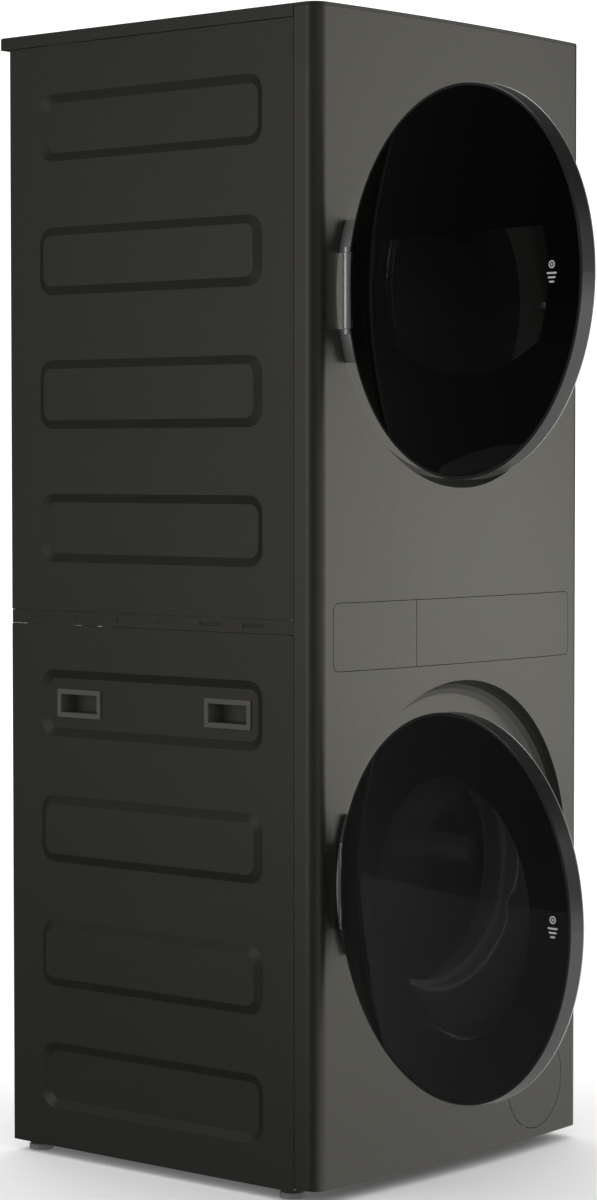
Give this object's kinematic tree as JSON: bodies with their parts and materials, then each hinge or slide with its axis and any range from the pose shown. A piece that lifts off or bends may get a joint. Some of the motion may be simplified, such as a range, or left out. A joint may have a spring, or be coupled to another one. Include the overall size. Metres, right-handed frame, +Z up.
{
  "type": "stacked washer dryer",
  "caption": "Stacked front-load washer and dryer tower with round glass doors, one tall bowed front, detergent drawer and service cap.",
  "frame": {"origin": "on the floor at the centre of the four levelling feet", "axes": "+X to the right of a person facing the doors, +Y from the front to the rear, +Z up; stored with both doors standing open"},
  "size_m": [0.8138, 1.264, 1.841],
  "materials": {
    "painted_shell": "dark satin metallic enamel",
    "painted_side": "dark satin enamel",
    "galvanised": "zinc coated sheet",
    "stainless": "brushed stainless",
    "chrome_trim": "polished",
    "satin_ring": "satin dark metal",
    "tinted_glass": "tinted gloss",
    "clear_glass": "clear moulded",
    "black_plastic": "matte",
    "grey_plastic": "matte",
    "white_plastic": "matte",
    "rubber_grey": "moulded",
    "rubber_black": "moulded",
    "cast_weight": "raw casting",
    "cast_aluminium": "cast",
    "motor_steel": "machined",
    "pump_plastic": "moulded",
    "board_green": "lacquered"
  },
  "bodies": {
    "cabinet": {"base_frame": "galvanised", "blower_housing": "galvanised", "control_board": "board_green", "control_fascia": "painted_shell", "counterweights": "cast_weight", "dispenser_housing": "white_plastic", "door_gasket": "rubber_grey", "door_latches": "black_plastic", "drain_pump": "pump_plastic", "drive_belt": "rubber_black", "dryer_back_panel": "galvanised", "dryer_front_bulkhead": "galvanised", "dryer_hinge_mount": "chrome_trim", "dryer_motor": "motor_steel", "dryer_rear_bulkhead": "galvanised", "dryer_side_panel_left": "painted_side", "dryer_side_panel_right": "painted_side", "front_panel": "painted_shell", "handhold_cups": "black_plastic", "heater_box": "galvanised", "inlet_valve": "white_plastic", "levelling_feet": "grey_plastic", "middle_deck": "galvanised", "motor_stator": "motor_steel", "terminal_block": "black_plastic", "top_lid": "painted_side", "trim_strips": "painted_side", "tub_front": "white_plastic", "tub_rear": "white_plastic", "tub_suspension": "motor_steel", "washer_back_panel": "galvanised", "washer_hinge_mount": "chrome_trim", "washer_side_panel_left": "painted_side", "washer_side_panel_right": "painted_side"},
    "dryer_door": {"dryer_door_rim": "satin_ring", "dryer_door_glass": "tinted_glass", "dryer_door_inner_frame": "black_plastic", "dryer_door_inner_window": "clear_glass", "dryer_door_hinge_knuckle": "chrome_trim"},
    "washer_door": {"washer_door_rim": "satin_ring", "washer_door_glass": "tinted_glass", "washer_door_inner_frame": "black_plastic", "washer_door_bowl": "clear_glass", "washer_door_hinge_knuckle": "chrome_trim"},
    "detergent_drawer": {"drawer_front": "painted_shell", "drawer_tray": "grey_plastic"},
    "washer_drum": {"washer_drum_shell": "stainless", "washer_drum_lifters": "grey_plastic", "drum_spider": "cast_aluminium", "motor_rotor": "motor_steel"},
    "dryer_drum": {"dryer_drum_shell": "stainless", "dryer_drum_baffles": "stainless"},
    "blower_rotor": {"blower_wheel": "cast_aluminium"},
    "roller_left": {"drum_roller_left": "rubber_black"},
    "roller_right": {"drum_roller_right": "rubber_black"},
    "lint_screen": {"lint_filter": "grey_plastic"},
    "filter_cap": {"filter_cover": "painted_shell"},
    "drain_filter_plug": {"drain_filter": "grey_plastic"},
    "dryer_push_latch": {"dryer_latch_plunger": "grey_plastic"},
    "washer_push_latch": {"washer_latch_plunger": "grey_plastic"}
  },
  "joints": [
    {"name": "dryer_door_hinge", "type": "hinge", "parent": "cabinet", "child": "dryer_door", "pos_m": [-0.292, -0.3759, 1.404], "axis": [0, 0, -1], "range_deg": [-106, 14]},
    {"name": "washer_door_hinge", "type": "hinge", "parent": "cabinet", "child": "washer_door", "pos_m": [-0.292, -0.3678, 0.4925], "axis": [0, 0, -1], "range_deg": [-106, 14]},
    {"name": "drawer_slide", "type": "slide", "parent": "cabinet", "child": "detergent_drawer", "axis": [0, -1, 0], "range_m": [0, 0.2]},
    {"name": "washer_drum_spin", "type": "hinge", "parent": "cabinet", "child": "washer_drum", "pos_m": [0, 0, 0.4925], "axis": [0, 1, 0], "continuous": true},
    {"name": "dryer_drum_spin", "type": "hinge", "parent": "cabinet", "child": "dryer_drum", "pos_m": [0, 0, 1.404], "axis": [0, 1, 0], "continuous": true},
    {"name": "blower_spin", "type": "hinge", "parent": "cabinet", "child": "blower_rotor", "pos_m": [0.17, 0, 1.005], "axis": [0, 1, 0], "continuous": true},
    {"name": "roller_left_spin", "type": "hinge", "parent": "cabinet", "child": "roller_left", "pos_m": [-0.18085, 0.206, 1.14572], "axis": [0, 1, 0], "continuous": true},
    {"name": "roller_right_spin", "type": "hinge", "parent": "cabinet", "child": "roller_right", "pos_m": [0.18085, 0.206, 1.14572], "axis": [0, 1, 0], "continuous": true},
    {"name": "lint_screen_lift", "type": "slide", "parent": "cabinet", "child": "lint_screen", "axis": [0, 0, 1], "range_m": [0, 0.15]},
    {"name": "filter_cap_pull", "type": "slide", "parent": "cabinet", "child": "filter_cap", "axis": [0, -1, 0], "range_m": [0, 0.06]},
    {"name": "drain_filter_turn", "type": "hinge", "parent": "cabinet", "child": "drain_filter_plug", "pos_m": [0.208, -0.33, 0.118], "axis": [0, -1, 0], "range_deg": [0, 90]},
    {"name": "dryer_latch_push", "type": "slide", "parent": "cabinet", "child": "dryer_push_latch", "axis": [0, 1, 0], "range_m": [0, 0.006], "stiffness_N_per_m": 400, "springref_m": -0.004},
    {"name": "washer_latch_push", "type": "slide", "parent": "cabinet", "child": "washer_push_latch", "axis": [0, 1, 0], "range_m": [0, 0.006], "stiffness_N_per_m": 400, "springref_m": -0.004}
  ],
  "couplings": [
    {"joint": "blower_spin", "follows": "dryer_drum_spin", "ratio": 28.5},
    {"joint": "roller_left_spin", "follows": "dryer_drum_spin", "ratio": -9.5},
    {"joint": "roller_right_spin", "follows": "dryer_drum_spin", "ratio": -9.5}
  ]
}
